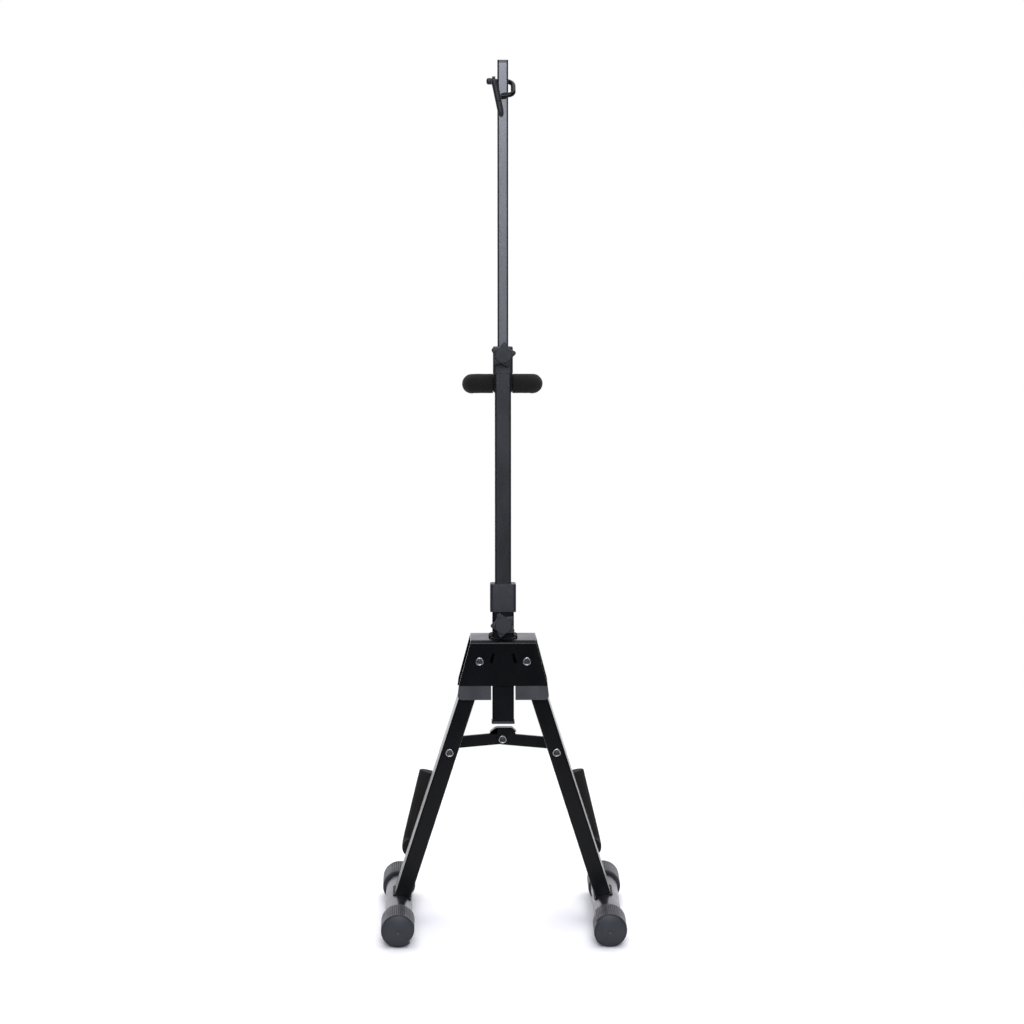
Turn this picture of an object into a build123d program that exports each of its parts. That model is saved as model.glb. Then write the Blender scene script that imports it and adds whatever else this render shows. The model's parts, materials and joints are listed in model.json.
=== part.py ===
from build123d import *
from math import atan2, cos, degrees, hypot, radians, sin
import os

# Folding instrument stand: two legs in a sheet bracket, a telescoping mast, a neck yoke, two body arms
# and a bow hook. Millimetres and degrees. The floor is z = 0, the legs lie in the plane y = 0,
# +Y points to the instrument and +X to the right when the stand is seen from behind.

# Mast
MAST_FOOT_Z = 343.0
MAST_LEAN = 7.0
OUTER_SIZE = 25.4
OUTER_WALL = 1.5
OUTER_LOW = -96.0
OUTER_HIGH = 62.0
MIDDLE_SIZE = 19.05
MIDDLE_WALL = 1.2
MIDDLE_LOW = -50.0
MIDDLE_HIGH = 340.0
UPPER_SIZE = 12.7
UPPER_WALL = 1.2
UPPER_LOW = 225.0
UPPER_HIGH = 674.4
TUBE_CORNER = 2.2
SLIDE_FIT = 0.1
GUIDE_LENGTH = 12.0
GUIDE_CORNER = 1.2
PLUG_LIP = 3.2
PLUG_DEPTH = 12.0

# Collars at the tube ends, and the two clamping knobs
LOWER_COLLAR_SIZE = 30.4
LOWER_COLLAR_LOW = 33.0
UPPER_COLLAR_SIZE = 23.2
UPPER_COLLAR_LOW = 313.0
COLLAR_LIP = 4.0
COLLAR_CORNER = 4.0
COLLAR_ROUNDING = 1.4
OUTER_PLUG_SIZE = 27.0
LOWER_KNOB_S = 18.7
UPPER_KNOB_S = 335.0
LOWER_KNOB_TURN = 112.0
UPPER_KNOB_TURN = 81.0
BOSS_RADIUS = 7.0
BOSS_HEIGHT = 5.0
KNOB_GAP = 0.5
KNOB_DEPTH = 13.0
KNOB_HUB_RADIUS = 10.6
KNOB_LOBE_RADIUS = 4.7
KNOB_LOBE_REACH = 10.3
KNOB_LOBES = 5
SCREW_RADIUS = 3.9
SCREW_FIT = 0.06

# Bracket, one bent sheet
SHEET = 2.0
BRACKET_TOP = 346.0
BRACKET_DEPTH = 46.0
BRACKET_TOP_HALF = 38.0
BEND_Z = 291.5
BEND_HALF = 52.3
BRACKET_BOTTOM = 276.3
BOTTOM_HALF = 54.2
FLANGE_LEAN = 25.0
BEND_RADIUS = 4.5
FLANGE_CORNER = 5.0
FRONT_BOTTOM = 282.0
NOTCH_HALF = 14.2
SLOT_WIDTH = 3.4
STOP_THICK = 1.6
STOP_LOW = 2.2
STOP_LENGTH = 10.8
STOP_GAP = 0.5
STOP_DEPTH = 5.5

# Legs and feet
PIVOT_X = 27.7
PIVOT_Z = 321.6
FOOT_X = 123.5
FOOT_CAP_RADIUS = 20.0
LEG_WIDTH = 19.0
LEG_DEPTH = 38.0
LEG_WALL = 1.5
LEG_CORNER = 2.0
LEG_TOP = 13.0
LEG_PLUG = 2.0
FOOT_TUBE_RADIUS = 15.875
FOOT_TUBE_WALL = 1.6
FOOT_TUBE_HALF = 105.0
CAP_START = 70.0
CAP_END = 116.5
CAP_FIT = 0.1
CAP_CROWN_RADIUS = 59.0
CAM_LOW_RADIUS = 17.2
CAM_SWEEP = 75.0

# Bolts
BOLT_RADIUS = 3.0
BOLT_FIT = 0.1
HEAD_RADIUS = 4.75
HEAD_HEIGHT = 3.0
SOCKET_RADIUS = 2.3
SOCKET_DEPTH = 1.8
NUT_RADIUS = 5.7
NUT_HEIGHT = 5.0
WASHER_RADIUS = 7.0
WASHER_THICK = 1.9
BOLT_TAIL = 1.0
BOLT_LENGTH_MAX = 60.0

# Spreader links
LINK_DROP = 116.9
LINK_RISE = 5.8
LINK_HEIGHT = 14.0
LINK_THICK = 3.0
LINK_GAP = 0.3
LINK_OFFSET = 3.0
LINK_SEAT_RADIUS = 6.0
LINK_SEAT_FIT = 0.1
PIN_CLEARANCE = 0.4
TAB_LOW = -13.4
TAB_HIGH = 13.6
TAB_TOP = 13.8
TAB_THICK = 2.0
TAB_OVERHANG = 2.0

# Neck yoke
YOKE_S = 300.0
YOKE_ROD_RADIUS = 4.0
YOKE_FOAM_RADIUS = 11.35
YOKE_HALF = 36.0
YOKE_REACH = 76.0
YOKE_BEND = 14.0
YOKE_DROOP = 2.8
YOKE_PLATE_LOW = 289.0
YOKE_PLATE_THICK = 3.0
YOKE_PLATE_CORNER = 3.0
YOKE_FOAM_START = 11.35
FOAM_END_COVER = 3.0

# Body arms
ARM_Z = 70.0
ARM_ROD_RADIUS = 5.0
ARM_FOAM_RADIUS = 11.35
ARM_ELBOW = (109.3, 86.0, 69.5)
ARM_TIP = (88.0, 93.0, 158.0)
ARM_BEND = 14.0
ARM_FOAM_LEAD = 6.0
ARM_PLATE_HEIGHT = 44.0
ARM_PLATE_THICK = 3.0
ARM_SCREW_SPACING = 15.0
ARM_SCREW_RADIUS = 2.5
ARM_SCREW_HEAD = 4.2
ARM_SCREW_HEAD_HEIGHT = 2.2
ARM_SCREW_DEPTH = 6.0

# Bow hook
HOOK_RADIUS = 2.9
HOOK_FRONT_S = 635.3
HOOK_CORNER_S = 637.6
HOOK_BACK_S = 653.2
HOOK_OUT = 12.2
HOOK_BENDS = (5.5, 9.0)
HOOK_TIP_X = -18.8
HOOK_TIP_START = -12.6
HOOK_TIP_RADIUS = 3.9
LATCH_X = -10.4
LATCH_WIRE_RADIUS = 1.6
LATCH_Y = -10.7
LATCH_END = (-2.0, 614.8)
LATCH_SLEEVE_RADIUS = 3.6
LATCH_EYE_RADIUS = 6.0
LATCH_EYE_WIDTH = 3.8

MAST = Plane(
    origin=(0, 0, MAST_FOOT_Z),
    x_dir=(1, 0, 0),
    z_dir=(0, sin(radians(MAST_LEAN)), cos(radians(MAST_LEAN))),
).location
LEG_LENGTH = hypot(FOOT_X - PIVOT_X, PIVOT_Z - FOOT_CAP_RADIUS)
LEG_ANGLE = degrees(atan2(FOOT_X - PIVOT_X, PIVOT_Z - FOOT_CAP_RADIUS))
LEG = Location((PIVOT_X, 0, PIVOT_Z), (0, -LEG_ANGLE, 0))
HALF_DEPTH = BRACKET_DEPTH / 2
LEG_FACE = LEG_DEPTH / 2


def mirrored(part):
    return mirror(part, about=Plane.YZ)


def square(size, corner=TUBE_CORNER):
    return RectangleRounded(size, size, corner)


def prism(section, low, high):
    return extrude(Pos(0, 0, low) * section, high - low)


def rod_along_y(radius, start, end, x=0.0, z=0.0):
    """A round bar parallel to Y between two values of y."""
    return Pos(x, (start + end) / 2, z) * Rot(X=90) * Cylinder(radius, end - start)


def hexagon_along_y(radius, start, end, x=0.0, z=0.0):
    section = Plane.XZ * RegularPolygon(radius, 6)
    return Pos(x, end, z) * extrude(section, end - start)


def swept_rod(path, radius):
    start = Plane(origin=path @ 0, z_dir=path % 0)
    return sweep(start * Circle(radius), path=path)


def square_tube(size, wall, low, high):
    outer = square(size)
    inner = square(size - 2 * wall, TUBE_CORNER - wall)
    return prism(outer - inner, low, high)


def screw_hole(radius, s, depth):
    """A round cutter from the mast axis out through its rear-facing wall, where the knobs are."""
    return rod_along_y(radius, -depth, 0, z=s)


def tube_end_plug(size, wall, end, outward, lip_size):
    """A moulded plug: a lip over the tube's end and a stem inside it."""
    low, high = sorted((end, end + outward * PLUG_LIP))
    lip = prism(square(lip_size), low, high)
    low, high = sorted((end, end - outward * PLUG_DEPTH))
    return lip + prism(square(size - 2 * wall, TUBE_CORNER - wall), low, high)


def tube_guide(size, tube_inner, bore_inner, low):
    """A slide guide under the inner tube's end, with a stem inside that tube."""
    foot = prism(square(bore_inner - 2 * SLIDE_FIT, GUIDE_CORNER), low - PLUG_LIP, low)
    return foot + prism(square(tube_inner, TUBE_CORNER - (size - tube_inner) / 2), low, low + GUIDE_LENGTH)


def collar(size, tube_size, tube_wall, inner_size, low, tube_high):
    """A moulded collar over a tube's top end, with a liner that the next tube slides in."""
    shell = prism(square(size, COLLAR_CORNER) - square(tube_size), low, tube_high)
    bore = square(inner_size + 2 * SLIDE_FIT)
    lip = prism(square(size, COLLAR_CORNER) - bore, tube_high, tube_high + COLLAR_LIP)
    top_edges = lip.faces().sort_by(Axis.Z)[-1].outer_wire().edges()
    lip = fillet(top_edges, COLLAR_ROUNDING)
    liner = prism(square(tube_size - 2 * tube_wall, TUBE_CORNER - tube_wall) - bore, low, tube_high)
    return shell + lip + liner


def outer_tube():
    tube = square_tube(OUTER_SIZE, OUTER_WALL, OUTER_LOW, OUTER_HIGH)
    return MAST * (tube - screw_hole(SCREW_RADIUS + SCREW_FIT, LOWER_KNOB_S, OUTER_SIZE))


def middle_tube():
    tube = square_tube(MIDDLE_SIZE, MIDDLE_WALL, MIDDLE_LOW, MIDDLE_HIGH)
    return MAST * (tube - screw_hole(SCREW_RADIUS + SCREW_FIT, UPPER_KNOB_S, MIDDLE_SIZE))


def upper_tube():
    return MAST * square_tube(UPPER_SIZE, UPPER_WALL, UPPER_LOW, UPPER_HIGH)


def lower_collar():
    return MAST * collar(
        LOWER_COLLAR_SIZE, OUTER_SIZE, OUTER_WALL, MIDDLE_SIZE, LOWER_COLLAR_LOW, OUTER_HIGH
    )


def upper_collar():
    part = collar(
        UPPER_COLLAR_SIZE, MIDDLE_SIZE, MIDDLE_WALL, UPPER_SIZE, UPPER_COLLAR_LOW, MIDDLE_HIGH
    )
    return MAST * (part - screw_hole(SCREW_RADIUS + SCREW_FIT, UPPER_KNOB_S, UPPER_COLLAR_SIZE))


def screw_boss(face, s):
    """A threaded boss on the face that the knob's screw enters."""
    boss = rod_along_y(BOSS_RADIUS, -face - BOSS_HEIGHT, -face, z=s)
    return MAST * (boss - screw_hole(SCREW_RADIUS + SCREW_FIT, s, 2 * face))


def knob(face, s, turn):
    """A five-lobed grip seen along the mast's rear normal, one lobe at the given turn from +X."""
    section = Circle(KNOB_HUB_RADIUS)
    for lobe in range(KNOB_LOBES):
        angle = turn + lobe * 360 / KNOB_LOBES
        section += Rot(Z=angle) * Pos(KNOB_LOBE_REACH, 0) * Circle(KNOB_LOBE_RADIUS)
    start = -face - BOSS_HEIGHT - KNOB_GAP
    grip = Pos(0, start, s) * extrude(Plane.XZ * section, KNOB_DEPTH)
    return MAST * (grip - rod_along_y(SCREW_RADIUS, start - KNOB_DEPTH / 2, start, z=s))


def knob_screw(face, s, pressed_face):
    start = -face - BOSS_HEIGHT - KNOB_GAP
    return MAST * rod_along_y(SCREW_RADIUS, start - KNOB_DEPTH / 2, -pressed_face - SLIDE_FIT, z=s)


def hinge_bracket():
    """One sheet: a plain front face, a top, and a rear face that kicks out in two flanges.

    The front face is shorter than the rear one, because the folded links rise behind it.
    """
    kick = (BEND_Z - BRACKET_BOTTOM) * sin(radians(FLANGE_LEAN)) / cos(radians(FLANGE_LEAN))
    outside = [
        (HALF_DEPTH, FRONT_BOTTOM),
        (HALF_DEPTH, BRACKET_TOP),
        (-HALF_DEPTH, BRACKET_TOP),
        (-HALF_DEPTH, BEND_Z),
        (-HALF_DEPTH - kick, BRACKET_BOTTOM),
    ]
    inside = [
        (-HALF_DEPTH - kick + SHEET, BRACKET_BOTTOM),
        (-HALF_DEPTH + SHEET, BEND_Z - SHEET / 4),
        (-HALF_DEPTH + SHEET, BRACKET_TOP - SHEET),
        (HALF_DEPTH - SHEET, BRACKET_TOP - SHEET),
        (HALF_DEPTH - SHEET, FRONT_BOTTOM),
    ]
    section = Plane.YZ * make_face(Polyline(*outside, *inside, close=True))
    sheet = extrude(section, 2 * BOTTOM_HALF, both=True)
    bends = sheet.edges().filter_by(Axis.X).group_by(Axis.Z)
    sheet = fillet(bends[-1], BEND_RADIUS)
    inner_bends = sheet.edges().filter_by(Axis.X).filter_by_position(
        Axis.Z, BRACKET_TOP - SHEET - SLIDE_FIT, BRACKET_TOP - SHEET + SLIDE_FIT
    )
    sheet = fillet(inner_bends, BEND_RADIUS - SHEET)

    outline = Polygon(
        (-BRACKET_TOP_HALF, BRACKET_TOP),
        (-BEND_HALF, BEND_Z),
        (-BOTTOM_HALF, BRACKET_BOTTOM),
        (BOTTOM_HALF, BRACKET_BOTTOM),
        (BEND_HALF, BEND_Z),
        (BRACKET_TOP_HALF, BRACKET_TOP),
        align=None,
    )
    outline = fillet(outline.vertices().sort_by(Axis.Y)[:2], FLANGE_CORNER)
    part = sheet & extrude(Plane.XZ * outline, 2 * HALF_DEPTH, both=True)

    notch_height = BEND_Z - BRACKET_BOTTOM
    part -= Pos(0, -HALF_DEPTH - kick / 2, BRACKET_BOTTOM + notch_height / 2) * Box(
        2 * NOTCH_HALF, 3 * kick, notch_height
    )
    part -= MAST * prism(square(OUTER_SIZE), OUTER_LOW, OUTER_HIGH)
    for side in (lambda shape: shape, mirrored):
        slot_x = -LEG_WIDTH / 2 - STOP_GAP - STOP_THICK - SLOT_WIDTH / 2
        stop_z = STOP_LOW + STOP_LENGTH / 2
        slot = Pos(slot_x, -HALF_DEPTH, stop_z) * Box(SLOT_WIDTH, 3 * SHEET, STOP_LENGTH + 1)
        part -= side(LEG * slot)
        stop_y = -HALF_DEPTH + SHEET / 2 + STOP_DEPTH / 2
        stop_x = -LEG_WIDTH / 2 - STOP_GAP - STOP_THICK / 2
        stop = Pos(stop_x, stop_y, stop_z) * Box(STOP_THICK, STOP_DEPTH, STOP_LENGTH)
        part += side(LEG * stop)
        part -= side(rod_along_y(BOLT_RADIUS, -BRACKET_DEPTH, BRACKET_DEPTH, PIVOT_X, PIVOT_Z))
    return part


def button_bolt(start, end, x, z):
    """A button-head bolt with a hexagon socket, its head on the -Y side of start."""
    head = rod_along_y(HEAD_RADIUS, start - HEAD_HEIGHT, start, x, z)
    rim = head.edges().filter_by(GeomType.CIRCLE).sort_by(Axis.Y)[0]
    head = fillet(rim, HEAD_HEIGHT * 0.55)
    face = start - HEAD_HEIGHT
    head -= hexagon_along_y(SOCKET_RADIUS, face - 1, face + SOCKET_DEPTH, x, z)
    return head + rod_along_y(BOLT_RADIUS, start, end, x, z)


def lock_nut(start, x, z):
    nut = hexagon_along_y(NUT_RADIUS, start, start + NUT_HEIGHT, x, z)
    return nut - rod_along_y(BOLT_RADIUS, start - 1, start + NUT_HEIGHT + 1, x, z)


def pivot_washer(start, x):
    washer = rod_along_y(WASHER_RADIUS, start, start + WASHER_THICK, x, PIVOT_Z)
    return washer - rod_along_y(BOLT_RADIUS, start - 1, start + 3, x, PIVOT_Z)


def link_point():
    """The place of the link bolt on the right leg."""
    point = LEG * Pos(0, 0, -LINK_DROP)
    return point.position.X, point.position.Z


def leg_tube():
    outer = RectangleRounded(LEG_WIDTH, LEG_DEPTH, LEG_CORNER)
    inner = RectangleRounded(LEG_WIDTH - 2 * LEG_WALL, LEG_DEPTH - 2 * LEG_WALL, LEG_CORNER / 4)
    tube = LEG * prism(outer - inner, -LEG_LENGTH, LEG_TOP)
    tube -= rod_along_y(FOOT_TUBE_RADIUS, -LEG_DEPTH, LEG_DEPTH, FOOT_X, FOOT_CAP_RADIUS)
    tube -= rod_along_y(BOLT_RADIUS + BOLT_FIT, -LEG_DEPTH, LEG_DEPTH, PIVOT_X, PIVOT_Z)
    for x, z in arm_screw_centres():
        tube -= rod_along_y(ARM_SCREW_RADIUS, LEG_FACE - ARM_SCREW_DEPTH, LEG_FACE + 1, x, z)
    link_x, link_z = link_point()
    return tube - rod_along_y(BOLT_RADIUS, -LEG_DEPTH, LEG_DEPTH, link_x, link_z)


def leg_plug():
    """A cap on the leg's top end, with a short stem that stays above the pivot bolt."""
    cap = prism(RectangleRounded(LEG_WIDTH, LEG_DEPTH, LEG_CORNER), LEG_TOP, LEG_TOP + LEG_PLUG)
    stem = RectangleRounded(LEG_WIDTH - 2 * LEG_WALL, LEG_DEPTH - 2 * LEG_WALL, LEG_CORNER / 4)
    return LEG * (cap + prism(stem, BOLT_RADIUS + 2.5, LEG_TOP))


def foot_tube():
    outer = rod_along_y(FOOT_TUBE_RADIUS, -FOOT_TUBE_HALF, FOOT_TUBE_HALF, FOOT_X, FOOT_CAP_RADIUS)
    bore = FOOT_TUBE_RADIUS - FOOT_TUBE_WALL
    return outer - rod_along_y(bore, -FOOT_TUBE_HALF, FOOT_TUBE_HALF, FOOT_X, FOOT_CAP_RADIUS)


def polar(radius, angle):
    return radius * cos(radians(angle)), radius * sin(radians(angle))


def foot_cap(x, notch):
    """A levelling cap behind the legs: a cam with one step, turned so that it stands on its high side."""
    high = CenterArc((0, 0), FOOT_CAP_RADIUS, notch + CAM_SWEEP, 360 - CAM_SWEEP)
    ramp = ThreePointArc(
        polar(CAM_LOW_RADIUS, notch),
        polar((CAM_LOW_RADIUS + FOOT_CAP_RADIUS) / 2, notch + CAM_SWEEP / 2),
        polar(FOOT_CAP_RADIUS, notch + CAM_SWEEP),
    )
    step = Line(polar(FOOT_CAP_RADIUS, notch), polar(CAM_LOW_RADIUS, notch))
    section = Plane.XZ * make_face([high, step, ramp])
    cap = Pos(0, -CAP_START, 0) * extrude(section, CAP_END - CAP_START)
    cap &= Pos(0, CAP_CROWN_RADIUS - CAP_END, 0) * Sphere(CAP_CROWN_RADIUS)
    cap -= rod_along_y(FOOT_TUBE_RADIUS + CAP_FIT, -FOOT_TUBE_HALF - 0.3, 0)
    cap -= rod_along_y(2.5, -CAP_END - 1, -CAP_END + 1.2)
    return Pos(x, 0, FOOT_CAP_RADIUS) * cap


def link_bar(start, x_end, z_end, centre_z):
    """A flat bar with round ends between a leg's bolt and the centre bolt."""
    length = hypot(x_end, centre_z - z_end)
    angle = degrees(atan2(z_end - centre_z, x_end))
    blank = Pos(length / 2, 0) * SlotOverall(length + LINK_HEIGHT, LINK_HEIGHT)
    bar = extrude(Plane.XZ * blank, LINK_THICK)
    return Pos(0, start + LINK_THICK, centre_z) * Rot(Y=-angle) * bar


def arm_path():
    foot_side_x = PIVOT_X + (PIVOT_Z - ARM_Z) * (FOOT_X - PIVOT_X) / (PIVOT_Z - FOOT_CAP_RADIUS)
    start = (foot_side_x, LEG_FACE, ARM_Z)
    return FilletPolyline(start, ARM_ELBOW, ARM_TIP, radius=ARM_BEND)


def arm_rod():
    rod = swept_rod(arm_path(), ARM_ROD_RADIUS)
    rod -= Pos(ARM_ELBOW[0], LEG_FACE + ARM_PLATE_THICK - 50, ARM_Z) * Box(60, 100, 60)
    cover = Plane(origin=ARM_TIP, z_dir=arm_path() % 1).location
    return rod - cover * Pos(0, 0, -FOAM_END_COVER / 2) * Cylinder(3 * ARM_ROD_RADIUS, FOAM_END_COVER)


def arm_foam():
    """A foam sleeve over the elbow and the upright part, closed at its tip."""
    path = arm_path()
    sleeve = swept_rod(path, ARM_FOAM_RADIUS)
    keep = Pos(0, ARM_ELBOW[1] - ARM_BEND - ARM_FOAM_LEAD + 50, 0) * Box(400, 100, 400)
    return (sleeve & keep) - arm_rod()


def arm_screw_centres():
    """The x and z of the two screws that hold an arm's plate to its leg."""
    drop = (PIVOT_Z - ARM_Z) / cos(radians(LEG_ANGLE))
    for height in (-ARM_SCREW_SPACING, ARM_SCREW_SPACING):
        centre = (LEG * Pos(0, 0, height - drop)).position
        yield centre.X, centre.Z


def arm_plate():
    blank = RectangleRounded(LEG_WIDTH - 1, ARM_PLATE_HEIGHT, 4.0)
    plate = Rot(X=90) * extrude(blank, ARM_PLATE_THICK)
    drop = (PIVOT_Z - ARM_Z) / cos(radians(LEG_ANGLE))
    plate = LEG * Pos(0, LEG_FACE + ARM_PLATE_THICK, -drop) * plate
    for x, z in arm_screw_centres():
        plate -= rod_along_y(ARM_SCREW_RADIUS, LEG_FACE - 1, LEG_FACE + 2 * ARM_PLATE_THICK, x, z)
    return plate


def arm_screws():
    """Two slotted pan-head screws through the arm's plate into the leg's front wall."""
    face = LEG_FACE + ARM_PLATE_THICK
    top = face + ARM_SCREW_HEAD_HEIGHT
    screws = []
    for x, z in arm_screw_centres():
        head = rod_along_y(ARM_SCREW_HEAD, face, top, x, z)
        head -= Pos(x, top, z) * Box(5.5, 1.6, 1.1)
        screws.append(head + rod_along_y(ARM_SCREW_RADIUS, LEG_FACE - ARM_SCREW_DEPTH, face, x, z))
    return screws


def yoke_plate():
    low, high = YOKE_PLATE_LOW, MIDDLE_HIGH + COLLAR_LIP - 2
    blank = Pos(0, (low + high) / 2) * RectangleRounded(
        UPPER_COLLAR_SIZE - 2 * 0.3, high - low, YOKE_PLATE_CORNER
    )
    front = UPPER_COLLAR_SIZE / 2 + YOKE_PLATE_THICK
    return MAST * Pos(0, front, 0) * extrude(Plane.XZ * blank, YOKE_PLATE_THICK)


def yoke_path():
    """The bar against the plate, and two arms that slope down a little as they reach forward."""
    y = UPPER_COLLAR_SIZE / 2 + YOKE_PLATE_THICK + YOKE_ROD_RADIUS
    end_s = YOKE_S - (YOKE_REACH - y) * sin(radians(YOKE_DROOP)) / cos(radians(YOKE_DROOP))
    return FilletPolyline(
        (-YOKE_HALF, YOKE_REACH, end_s),
        (-YOKE_HALF, y, YOKE_S),
        (YOKE_HALF, y, YOKE_S),
        (YOKE_HALF, YOKE_REACH, end_s),
        radius=YOKE_BEND,
    )


def yoke_rod_local():
    trim = Pos(0, YOKE_REACH, YOKE_S) * Box(150, 2 * FOAM_END_COVER, 50)
    return swept_rod(yoke_path(), YOKE_ROD_RADIUS) - trim


def yoke_foam():
    sleeve = swept_rod(yoke_path(), YOKE_FOAM_RADIUS)
    keep = Pos(YOKE_FOAM_START + 50, 50, YOKE_S) * Box(100, 100, 50)
    return MAST * ((sleeve & keep) - yoke_rod_local())


def hook_path():
    y = UPPER_SIZE / 2 + HOOK_RADIUS
    return FilletPolyline(
        (-2.0, -y, HOOK_FRONT_S),
        (HOOK_OUT, -y, HOOK_CORNER_S),
        (HOOK_OUT, y, HOOK_BACK_S),
        (HOOK_TIP_X + 2, y, HOOK_BACK_S),
        radius=HOOK_BENDS,
    )


def hook_rod_local():
    return swept_rod(hook_path(), HOOK_RADIUS)


def hook_tip():
    """A rubber cap on the free end of the hook."""
    y = UPPER_SIZE / 2 + HOOK_RADIUS
    length = HOOK_TIP_START - HOOK_TIP_X
    middle = Pos((HOOK_TIP_START + HOOK_TIP_X) / 2, y, HOOK_BACK_S)
    cap = middle * Rot(Y=90) * Cylinder(HOOK_TIP_RADIUS, length)
    end = cap.edges().filter_by(GeomType.CIRCLE).sort_by(Axis.X)[0]
    return MAST * (fillet(end, 1.8) - hook_rod_local())


def latch_path():
    y = UPPER_SIZE / 2 + HOOK_RADIUS
    return FilletPolyline(
        (LATCH_X, y - HOOK_RADIUS - SLIDE_FIT, HOOK_BACK_S),
        (LATCH_X, LATCH_Y, HOOK_BACK_S),
        (LATCH_END[0], LATCH_Y, LATCH_END[1]),
        radius=4.0,
    )


def latch_wire_local():
    """A wire with an eye that turns on the hook, and a long leg that hangs behind the mast."""
    y = UPPER_SIZE / 2 + HOOK_RADIUS
    eye = Pos(LATCH_X, y, HOOK_BACK_S) * Rot(Y=90) * Cylinder(LATCH_EYE_RADIUS, LATCH_EYE_WIDTH)
    bore = Pos(LATCH_X, y, HOOK_BACK_S) * Rot(Y=90) * Cylinder(HOOK_RADIUS + SLIDE_FIT, 20)
    return eye + swept_rod(latch_path(), LATCH_WIRE_RADIUS) - bore


def latch_sleeve():
    top = Vector(LATCH_X, LATCH_Y, HOOK_BACK_S + 1.5)
    bottom = Vector(LATCH_END[0], LATCH_Y, LATCH_END[1])
    axis = (bottom - top).normalized()
    centre = (top + bottom) / 2
    place = Plane(origin=centre, z_dir=axis).location
    sleeve = place * Cylinder(LATCH_SLEEVE_RADIUS, (bottom - top).length)
    sleeve += Pos(bottom) * Sphere(LATCH_SLEEVE_RADIUS)
    return MAST * (sleeve - latch_wire_local())


def bolt_hole(radius, x, z):
    return rod_along_y(radius, 0, BOLT_LENGTH_MAX, x, z)


def left_link_bar(y, link_x, link_z, centre_z):
    """Turns on the left leg's bolt and carries the centre bolt."""
    bar = mirrored(link_bar(y, link_x, link_z, centre_z))
    bar -= bolt_hole(BOLT_RADIUS + BOLT_FIT, -link_x, link_z)
    return bar - bolt_hole(BOLT_RADIUS, 0, centre_z)


def right_link_bar(y, depth, link_x, link_z, centre_z):
    """Turns on the centre bolt, and its tab folds over both bars as the thumb rest and the stop."""
    bar = link_bar(y, link_x, link_z, centre_z)
    web_low = -LINK_HEIGHT / 2 + 1.5
    web_height = TAB_TOP - 2 * TAB_THICK
    bar += Pos(
        (web_low + TAB_HIGH) / 2, y + LINK_THICK / 2, centre_z + TAB_TOP - TAB_THICK - web_height / 2
    ) * Box(TAB_HIGH - web_low, LINK_THICK, web_height)
    bar += Pos(
        (TAB_HIGH + TAB_LOW) / 2, y + depth / 2, centre_z + TAB_TOP - TAB_THICK / 2
    ) * Box(TAB_HIGH - TAB_LOW, depth, TAB_THICK)
    bar -= bolt_hole(BOLT_RADIUS, link_x, link_z)
    return bar - bolt_hole(BOLT_RADIUS + BOLT_FIT, 0, centre_z)


def right_link_pin(y, link_x, link_z):
    """The open pivot: a headed pin that stays with the bar and stops short of the leg."""
    head = rod_along_y(LINK_SEAT_RADIUS, LEG_FACE + PIN_CLEARANCE, y, link_x, link_z)
    end = y + LINK_THICK + NUT_HEIGHT + BOLT_TAIL
    return head + rod_along_y(BOLT_RADIUS, y, end, link_x, link_z)


def linkage():
    """The two spreader bars with their spacer, bolts, pin and nuts."""
    link_x, link_z = link_point()
    centre_z = link_z + LINK_RISE
    right_y = LEG_FACE + LINK_OFFSET
    left_y = right_y + LINK_THICK + LINK_GAP
    end = left_y + LINK_THICK
    tail = end + NUT_HEIGHT + BOLT_TAIL
    tab_depth = end + TAB_OVERHANG - right_y
    spacer = rod_along_y(LINK_SEAT_RADIUS, LEG_FACE, left_y - LINK_SEAT_FIT, -link_x, link_z)
    return {
        "left_link_spacer": spacer - bolt_hole(BOLT_RADIUS, -link_x, link_z),
        "left_link_bolt": button_bolt(-LEG_FACE, tail, -link_x, link_z),
        "left_link_nut": lock_nut(end + LINK_SEAT_FIT, -link_x, link_z),
        "left_link_bar": left_link_bar(left_y, link_x, link_z, centre_z),
        "right_link_bolt": button_bolt(-LEG_FACE, LEG_FACE, link_x, link_z),
        "right_link_pin": right_link_pin(right_y, link_x, link_z),
        "right_link_nut": lock_nut(right_y + LINK_THICK, link_x, link_z),
        "right_link_bar": right_link_bar(right_y, tab_depth, link_x, link_z, centre_z),
        "link_centre_bolt": button_bolt(right_y - LINK_SEAT_FIT, tail, 0, centre_z),
        "link_centre_nut": lock_nut(end, 0, centre_z),
    }


def leg_pivots():
    """The bolt, nut and two washers at the top of each leg, grouped by kind."""
    bolt = button_bolt(-HALF_DEPTH, HALF_DEPTH + NUT_HEIGHT + BOLT_TAIL, PIVOT_X, PIVOT_Z)
    nut = lock_nut(HALF_DEPTH, PIVOT_X, PIVOT_Z)
    starts = (-HALF_DEPTH + SHEET, HALF_DEPTH - SHEET - WASHER_THICK)
    washers = [pivot_washer(start, x) for x in (-PIVOT_X, PIVOT_X) for start in starts]
    return {
        "leg_pivot_bolts": Compound([bolt, mirrored(bolt)]),
        "leg_pivot_nuts": Compound([nut, mirrored(nut)]),
        "leg_pivot_washers": Compound(washers),
    }


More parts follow.
